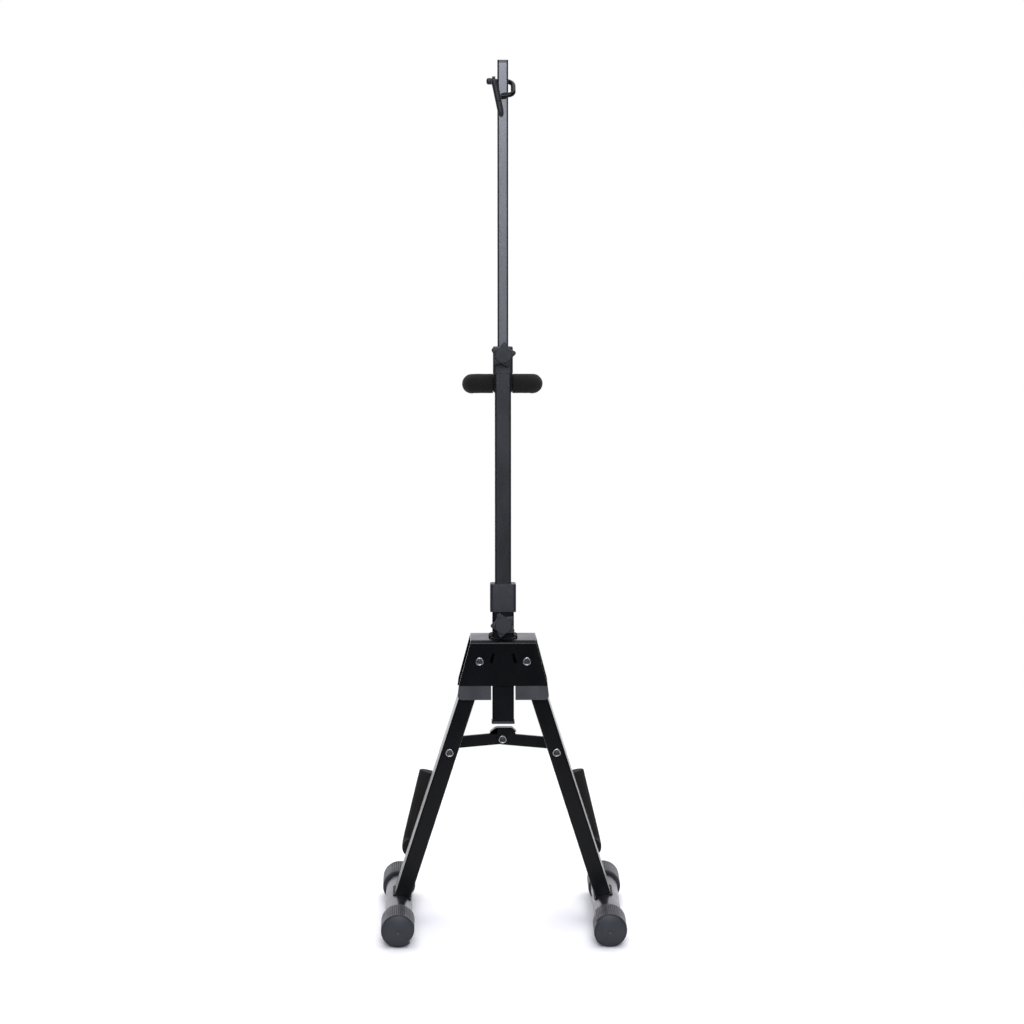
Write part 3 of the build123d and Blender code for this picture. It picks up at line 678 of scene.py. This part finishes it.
def foam_sleeve(node, name, body, route, start, bore, up, seed, matrix, flip):
    """A foam tube along a route from start to its end, mirrored for the left side."""
    count = 64
    stations = sleeve_stations(start, route.total, bore)
    verts = lathe_along(route, stations, count, up, sleeve_shape(route.bends[0], seed))
    verts = placed(verts, matrix)
    if flip:
        verts = mirrored(verts)
    faces = ring_faces(len(stations), count, closed_along=True)
    piece = add_piece(name, verts, faces, "black_foam", body, 60, (node,))
    outward(piece)


def foam_sleeves():
    yoke_end = YOKE_S - (YOKE_REACH - YOKE_Y) * math.tan(YOKE_DROOP)
    yoke = Route(
        [
            Vector((0, YOKE_Y, YOKE_S)),
            Vector((YOKE_HALF, YOKE_Y, YOKE_S)),
            Vector((YOKE_HALF, YOKE_REACH, yoke_end)),
        ],
        YOKE_BEND,
    )
    arm = Route([ARM_START, ARM_ELBOW, ARM_TIP], ARM_BEND)
    arm_foam_start = ARM_ELBOW.y - ARM_BEND - ARM_FOAM_LEAD - ARM_START.y
    for side, flip in (("right", False), ("left", True)):
        seed = Vector((3.1, 7.7, 1.3)) if flip else Vector((11.4, 2.2, 5.9))
        foam_sleeve(
            f"{side}_yoke_foam", f"{side}_yoke_sleeve", "middle_mast",
            yoke, YOKE_FOAM_START, YOKE_ROD, Vector((0, 0, 1)), seed, MAST, flip,
        )
        foam_sleeve(
            f"{side}_arm_foam", f"{side}_arm_sleeve", f"{side}_leg",
            arm, arm_foam_start, ARM_ROD, Vector((1, 0, 0)), seed, Matrix.Identity(4), flip,
        )


# ---------------------------------------------------------------- foot caps


def cap_radius(turn, notch):
    past = (math.degrees(turn) - notch) % 360.0
    if past < CAP_SWEEP:
        return CAP_LOW_RADIUS + (CAP_RADIUS - CAP_LOW_RADIUS) * past / CAP_SWEEP
    return CAP_RADIUS


def foot_cap(side, end):
    """A cam-shaped cap with axial ribs, a crowned face with a dimple, and a bore over the foot tube."""
    node = f"{side}_{end}_foot_cap"
    low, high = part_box(node)
    notch = CAP_NOTCH[side]
    towards = -1.0 if end == "rear" else 1.0
    inner, outer = (high.y, low.y) if end == "rear" else (low.y, high.y)
    length = abs(outer - inner) / MM
    centre_x = FOOT.x if side == "right" else -FOOT.x
    samples_per_rib = 8
    samples = CAP_RIBS * samples_per_rib
    angles = [math.radians(notch) + 2 * math.pi * k / samples for k in range(samples)]
    angles.append(math.radians(notch + 360 - 0.02))
    groove = {0: 0.75, 1: 0.55, samples_per_rib - 1: 0.55}

    def sag(share):
        return CAP_CROWN - math.sqrt(CAP_CROWN * CAP_CROWN - (share * CAP_RADIUS) ** 2)

    rim = length - sag(1.0)
    rows = [(0.0, 0.82, 0.0), (0.0, 0.96, 0.0), (0.3, 0.99, 0.6)]
    rows += [(0.8 + (rim - 1.6) * k / 8, 1.0, 1.0) for k in range(9)]
    rows += [(rim - 0.45, 1.0, 0.4), (rim - 0.15, 0.985, 0.0), (length - sag(0.965), 0.965, 0.0)]
    rows += [(length - sag(0.945) - 0.4, 0.95, 0.0), (length - sag(0.93) - 0.4, 0.93, 0.0)]
    for share in (0.915, 0.85, 0.78, 0.7, 0.6, 0.5, 0.4, 0.3, 0.22, 0.17):
        rows.append((length - sag(share), share, 0.0))
    rows += [(length - 0.5, 0.12, 0.0), (length - 0.9, 0.07, 0.0), (length - 1.0, 0.01, 0.0)]
    bore_end = length - CAP_WEB
    rows += [(bore_end, 0.01, -1.0), (bore_end, 0.5, -1.0), (bore_end, 0.8, -1.0)]
    rows += [(6.0, 0.8, -1.0), (0.0, 0.8, -1.0)]
    verts = []
    for depth, share, ribbed in rows:
        for k, turn in enumerate(angles):
            radius = cap_radius(turn, notch) * share
            if ribbed > 0:
                radius -= ribbed * groove.get(k % samples_per_rib, 0.0)
            if ribbed < 0:
                radius = share / 0.8 * (FOOT_TUBE_RADIUS + CAP_BORE_FIT)
            x = centre_x + radius * math.cos(turn)
            z = FOOT.z + radius * math.sin(turn)
            verts.append(Vector((x * MM, inner + towards * depth * MM, z * MM)))
    faces = ring_faces(len(rows), len(angles), closed_along=True)
    piece = add_piece(node + "_ribbed", verts, faces, "grey_rubber", BODY_OF[node], 30, (node,))
    return outward(piece)


# ---------------------------------------------------------------- knobs


def knob_reach(angle):
    """The five-pointed outline: rounded tips with straight flanks that are tangents of the hub."""
    pitch = 2 * math.pi / KNOB_LOBES
    off = abs((angle + pitch / 2) % pitch - pitch / 2)
    lean = math.acos((KNOB_HUB - KNOB_TIP) / KNOB_TIP_CENTRE)
    touch = math.atan2(KNOB_TIP * math.sin(lean), KNOB_TIP_CENTRE + KNOB_TIP * math.cos(lean))
    if off < touch:
        side = KNOB_TIP_CENTRE * math.sin(off)
        return KNOB_TIP_CENTRE * math.cos(off) + math.sqrt(KNOB_TIP**2 - side**2)
    return KNOB_HUB / math.cos(lean - off)


def knob(node, face, s, turn):
    """A moulded grip: waisted stem side, lobes, a parting line and a raised round cap on its face."""
    start = face + KNOB_STANDOFF
    profile = [(0.0, 0.45), (0.0, 0.62), (0.5, 0.7), (2.0, 0.76), (2.8, 0.93), (3.2, 0.97)]
    profile += [(4.0, 0.995), (6.0, 1.0), (6.2, 1.012), (6.4, 1.0), (8.2, 0.992)]
    profile += [(9.0, 0.975), (9.4, 0.94), (9.6, 0.89)]
    disc = [(9.62, 9.7), (12.6, 9.6), (12.85, 9.45), (13.0, 9.15), (13.0, 9.0), (12.75, 8.95)]
    disc += [(12.75, 8.8), (13.0, 8.7), (13.03, 4.0), (13.03, 0.02)]
    count = 120
    verts = []
    for depth, share in profile:
        for k in range(count):
            angle = 2 * math.pi * k / count
            reach = knob_reach(angle) * share
            if share < 0.8:
                reach = reach * 0.25 + 0.75 * KNOB_HUB * share * 1.05
            at = angle + math.radians(turn)
            verts.append(Vector((reach * math.cos(at), -start - depth, s + reach * math.sin(at))) * MM)
    for depth, radius in disc:
        for k in range(count):
            at = 2 * math.pi * k / count + math.radians(turn)
            verts.append(Vector((radius * math.cos(at), -start - depth, s + radius * math.sin(at))) * MM)
    faces = ring_faces(len(profile) + len(disc), count, first_cap=True, last_cap=True)
    piece = add_piece(
        node + "_grip", placed(verts, MAST), faces, "black_plastic", BODY_OF[node], 50, (node,)
    )
    return outward(piece)


# ---------------------------------------------------------------- bow hook rubber


def hook_rubber():
    """The rubber tip on the hook, and the sleeve on the latch with its long domed end."""
    tip = Route([Vector((x, HOOK_Y, HOOK_S)) for x in HOOK_TIP_X])
    stations = [(0.0, 2.95), (0.0, 3.3), (0.35, 3.75), (1.1, 3.9), (1.5, 3.7), (1.9, 3.85), (4.0, 3.9)]
    for k in range(1, 9):
        angle = math.pi / 2 * k / 8
        stations.append((4.0 + 2.5 * math.sin(angle), 1.4 + 2.5 * math.cos(angle)))
    stations.append((6.5, 0.05))
    verts = placed(lathe_along(tip, stations, 36, Vector((0, 0, 1))), MAST)
    faces = ring_faces(len(stations), 36, first_cap=True, last_cap=True)
    outward(add_piece("hook_tip_rubber", verts, faces, "black_rubber", "upper_mast", 45, ("hook_tip",)))

    length = (LATCH_BOTTOM - LATCH_TOP).length
    hang = Route([LATCH_TOP, LATCH_BOTTOM])
    radius = LATCH_SLEEVE_RADIUS
    groove = length * LATCH_GROOVE
    stations = [(0.0, 0.05), (0.0, 2.4), (0.3, 3.1), (1.0, 3.55)]
    stations += [(1.0 + (groove - 1.0) * k / 10, radius) for k in range(1, 11)]
    stations += [(groove + 0.25, 3.38), (groove + 0.5, radius)]
    stations += [(length * (LATCH_GROOVE + 0.26 * k / 8) + 0.5, radius) for k in range(1, 8)]
    verts = lathe_along(hang, stations, 40, Vector((0, 1, 0)))
    _, along = hang.locate(length)
    side = Vector((0, 1, 0)).cross(along).normalized()
    last = hang.locate(stations[-1][0])[0]
    dome = 8
    reach = (LATCH_BOTTOM - last).length + 3.4
    for k in range(1, dome + 1):
        angle = math.pi / 2 * k / dome
        ring = max(radius * math.cos(angle), 0.03)
        centre = last + along * (reach * math.sin(angle))
        for step in range(40):
            turn = 2 * math.pi * step / 40
            spoke = math.cos(turn) * side + math.sin(turn) * along.cross(side)
            verts.append((centre + ring * spoke) * MM)
    faces = ring_faces(len(stations) + dome, 40, first_cap=True, last_cap=True)
    piece = add_piece(
        "latch_rubber", placed(verts, MAST), faces, "black_rubber", "latch", 45, ("latch_sleeve",)
    )
    outward(piece)


# ---------------------------------------------------------------- weld beads


def weld_bead(name, points, radius, body, closed=False, seed=0.0):
    """A rippled bead along points in millimetres, as a fused weld looks under paint."""
    count = 10
    spaced = []
    ends = points[1:] + (points[:1] if closed else [])
    for a, b in zip(points, ends):
        steps = max(1, int((b - a).length / 0.45))
        spaced += [a.lerp(b, k / steps) for k in range(steps)]
    if not closed:
        spaced.append(points[-1])
    verts = []
    travelled = 0.0
    total = len(spaced)
    for k, here in enumerate(spaced):
        before = spaced[k - 1] if closed or k else here
        after = spaced[(k + 1) % total] if closed or k < total - 1 else here
        along = (after - before).normalized()
        upright = abs(along.z) > 0.95
        side = (along.orthogonal() if upright else along.cross(Vector((0, 0, 1)))).normalized()
        top = side.cross(along)
        travelled += (here - before).length if k else 0.0
        uneven = noise.noise(here * 0.35 + Vector((seed, 0, 0)))
        ripple = 1 + 0.1 * math.sin(travelled * 3.3) + 0.16 * uneven
        taper = 1.0
        if not closed:
            taper = min(1.0, 0.25 + min(k, total - 1 - k) / 4.0)
        for step in range(count):
            turn = 2 * math.pi * step / count
            reach = radius * ripple * taper
            verts.append((here + reach * (math.cos(turn) * side + math.sin(turn) * top)) * MM)
    faces = ring_faces(total, count, closed_along=closed, first_cap=not closed, last_cap=not closed)
    return outward(add_piece(name, verts, faces, "black_steel", body, 80))


def to_row(points):
    """Mast coordinates to the row frame, in millimetres."""
    return [(MAST @ (p * MM)) / MM for p in points]


def circle(centre, radius, first, second, count=48):
    points = []
    for k in range(count):
        turn = 2 * math.pi * k / count
        points.append(centre + radius * (math.cos(turn) * first + math.sin(turn) * second))
    return points


def rounded_square(half_x, half_y, corner):
    points = []
    for cx, cy, start in ((1, 1, 0), (-1, 1, 90), (-1, -1, 180), (1, -1, 270)):
        middle = (cx * (half_x - corner), cy * (half_y - corner))
        points += arc(middle, corner, start, start + 90, 6)
    return points


def welds():
    x_axis, y_axis, z_axis = Vector((1, 0, 0)), Vector((0, 1, 0)), Vector((0, 0, 1))
    loop = rounded_square(12.9, 12.9, 2.4)
    base = [Vector((x, y, 3.0 + y * math.tan(MAST_LEAN))) for x, y in loop]
    weld_bead("mast_foot_weld", to_row(base), 2.1, "frame", closed=True)
    for side, sign in (("left", -1), ("right", 1)):
        line = [Vector((sign * 13.6, y, 3.2 + y * math.tan(MAST_LEAN))) for y in (-10, 0, 10)]
        weld_bead(f"mast_foot_fillet_{side}", to_row(line), 3.1, "frame", seed=sign)
    for name, body, face, s in (
        ("lower_boss_weld", "frame", OUTER_TUBE_FACE, LOWER_KNOB_S),
        ("upper_boss_weld", "middle_mast", UPPER_COLLAR_FACE, UPPER_KNOB_S),
    ):
        ring = circle(Vector((0, -face, s)), 7.1, x_axis, z_axis)
        weld_bead(name, to_row(ring), 0.9, body, closed=True, seed=face)
    for k, s in enumerate((YOKE_S - 3.6, YOKE_S + 3.6)):
        line = [Vector((x, 15.2, s)) for x in (-9, 0, 9)]
        weld_bead(f"yoke_weld_{k + 1}", to_row(line), 1.5, "middle_mast", seed=s)
    line = [Vector((x, -6.8, 632.9 + 0.15 * x)) for x in (-2, 1, 5)]
    weld_bead("hook_weld", to_row(line), 1.1, "upper_mast", seed=4.0)
    line = [Vector((x, -6.8, 638.3 + 0.15 * x)) for x in (-2, 1, 5)]
    weld_bead("hook_weld_upper", to_row(line), 1.0, "upper_mast", seed=6.0)

    up = Vector((-math.sin(LEG_ANGLE), 0, math.cos(LEG_ANGLE)))
    across = Vector((math.cos(LEG_ANGLE), 0, math.sin(LEG_ANGLE)))
    saddle = []
    for x, y in rounded_square(LEG_HALF_WIDTH + 0.2, LEG_HALF_DEPTH + 0.2, 2.2):
        rise = math.sqrt(FOOT_TUBE_RADIUS**2 - x**2) + 0.3
        saddle.append(FOOT + across * x + up * rise + y_axis * y)
    rod_ring = circle(ARM_START + Vector((0.1, 3.2, 0)), 5.2, x_axis, z_axis)
    for side, sign in (("right", 1), ("left", -1)):
        flipped = [Vector((sign * p.x, p.y, p.z)) for p in saddle]
        weld_bead(f"{side}_foot_weld", flipped, 1.7, f"{side}_leg", closed=True, seed=sign)
        flipped = [Vector((sign * p.x, p.y, p.z)) for p in rod_ring]
        weld_bead(f"{side}_arm_weld", flipped, 1.2, f"{side}_leg", closed=True, seed=sign)


# ---------------------------------------------------------------- stage


def floor():
    """A round pale floor under the stand; the white surroundings go on from its edge."""
    count = 96
    verts = [Vector((0, 0, 0))]
    for ring in FLOOR_RINGS:
        for k in range(count):
            turn = 2 * math.pi * k / count
            verts.append(Vector((ring * math.cos(turn), ring * math.sin(turn), 0)))
    faces = [(0, 1 + k, 1 + (k + 1) % count) for k in range(count)]
    for ring in range(len(FLOOR_RINGS) - 1):
        here, there = 1 + ring * count, 1 + (ring + 1) * count
        for k in range(count):
            after = (k + 1) % count
            faces.append((here + k, there + k, there + after, here + after))
    mesh = bpy.data.meshes.new("floor")
    mesh.from_pydata([tuple(v) for v in verts], [], faces)
    mesh.materials.append(pale_floor())
    piece = bpy.data.objects.new("floor", mesh)
    piece.location.z = cad_low.z - FLOOR_GAP
    bpy.context.scene.collection.objects.link(piece)


def camera():
    """Eye level above the stand, behind it, a long lens tilted down."""
    place = Vector((-0.0738, -4.5764, 1.3934))
    azimuth, pitch, roll = math.radians(1.053), math.radians(11.103), math.radians(0.108)
    data = bpy.data.cameras.new("camera")
    data.lens = 140.2
    data.sensor_width = 36.0
    data.clip_end = 100.0
    piece = bpy.data.objects.new("camera", data)
    turn = Matrix.Rotation(-azimuth, 4, "Z") @ Matrix.Rotation(math.pi / 2 - pitch, 4, "X")
    piece.matrix_world = Matrix.Translation(place) @ turn @ Matrix.Rotation(roll, 4, "Z")
    bpy.context.scene.collection.objects.link(piece)
    bpy.context.scene.camera = piece


def area_light(name, place, target, size, height, power, color):
    data = bpy.data.lights.new(name, "AREA")
    data.shape = "RECTANGLE"
    data.size = size
    data.size_y = height
    data.energy = power
    data.color = color
    piece = bpy.data.objects.new(name, data)
    piece.location = place
    piece.rotation_euler = (Vector(target) - Vector(place)).to_track_quat("-Z", "Y").to_euler()
    bpy.context.scene.collection.objects.link(piece)


def lights():
    """A bright room beyond the stand, a dim one on the camera's side, and one high softbox there."""
    world = bpy.data.worlds.new("studio")
    bpy.context.scene.world = world
    world.use_nodes = True
    nodes, links = world.node_tree.nodes, world.node_tree.links
    background = nodes["Background"]
    place = nodes.new("ShaderNodeTexCoord")
    split = nodes.new("ShaderNodeSeparateXYZ")
    links.new(place.outputs["Generated"], split.inputs["Vector"])
    ramp = nodes.new("ShaderNodeMapRange")
    ramp.interpolation_type = "SMOOTHSTEP"
    for socket, number in zip(ramp.inputs[1:5], (0.3, 0.9, DIM_SIDE, BRIGHT_SIDE)):
        socket.default_value = number
    links.new(split.outputs["Y"], ramp.inputs["Value"])
    seen = nodes.new("ShaderNodeLightPath")
    choose = nodes.new("ShaderNodeMix")
    choose.inputs["B"].default_value = 1.0
    links.new(seen.outputs["Is Camera Ray"], choose.inputs["Factor"])
    links.new(ramp.outputs["Result"], choose.inputs["A"])
    links.new(choose.outputs["Result"], background.inputs["Strength"])
    tint = nodes.new("ShaderNodeMix")
    tint.data_type = "RGBA"
    tint.inputs["A"].default_value = (0.955, 0.94, 1.0, 1.0)
    tint.inputs["B"].default_value = (1.0, 1.0, 1.0, 1.0)
    links.new(seen.outputs["Is Camera Ray"], tint.inputs["Factor"])
    links.new(tint.outputs["Result"], background.inputs["Color"])
    area_light("softbox", (0, -5.5, 3.05), (0, 0, 0.9), 3.4, 2.6, 330, (0.84, 0.88, 1.0))
    area_light("top_light", (0.3, 0.8, 4.2), (0, 0, 0.4), 4.5, 4.5, 190, (1.0, 0.98, 1.0))
    bpy.context.scene.view_settings.view_transform = "Standard"


camera()
metalwork()
socket_bolts()
right_link()
foam_sleeves()
for cap_side in ("left", "right"):
    for cap_end in ("rear", "front"):
        foot_cap(cap_side, cap_end)
knob("lower_knob", OUTER_TUBE_FACE, LOWER_KNOB_S, LOWER_KNOB_TURN)
knob("upper_knob", UPPER_COLLAR_FACE, UPPER_KNOB_S, UPPER_KNOB_TURN)
hook_rubber()
welds()
floor()
lights()
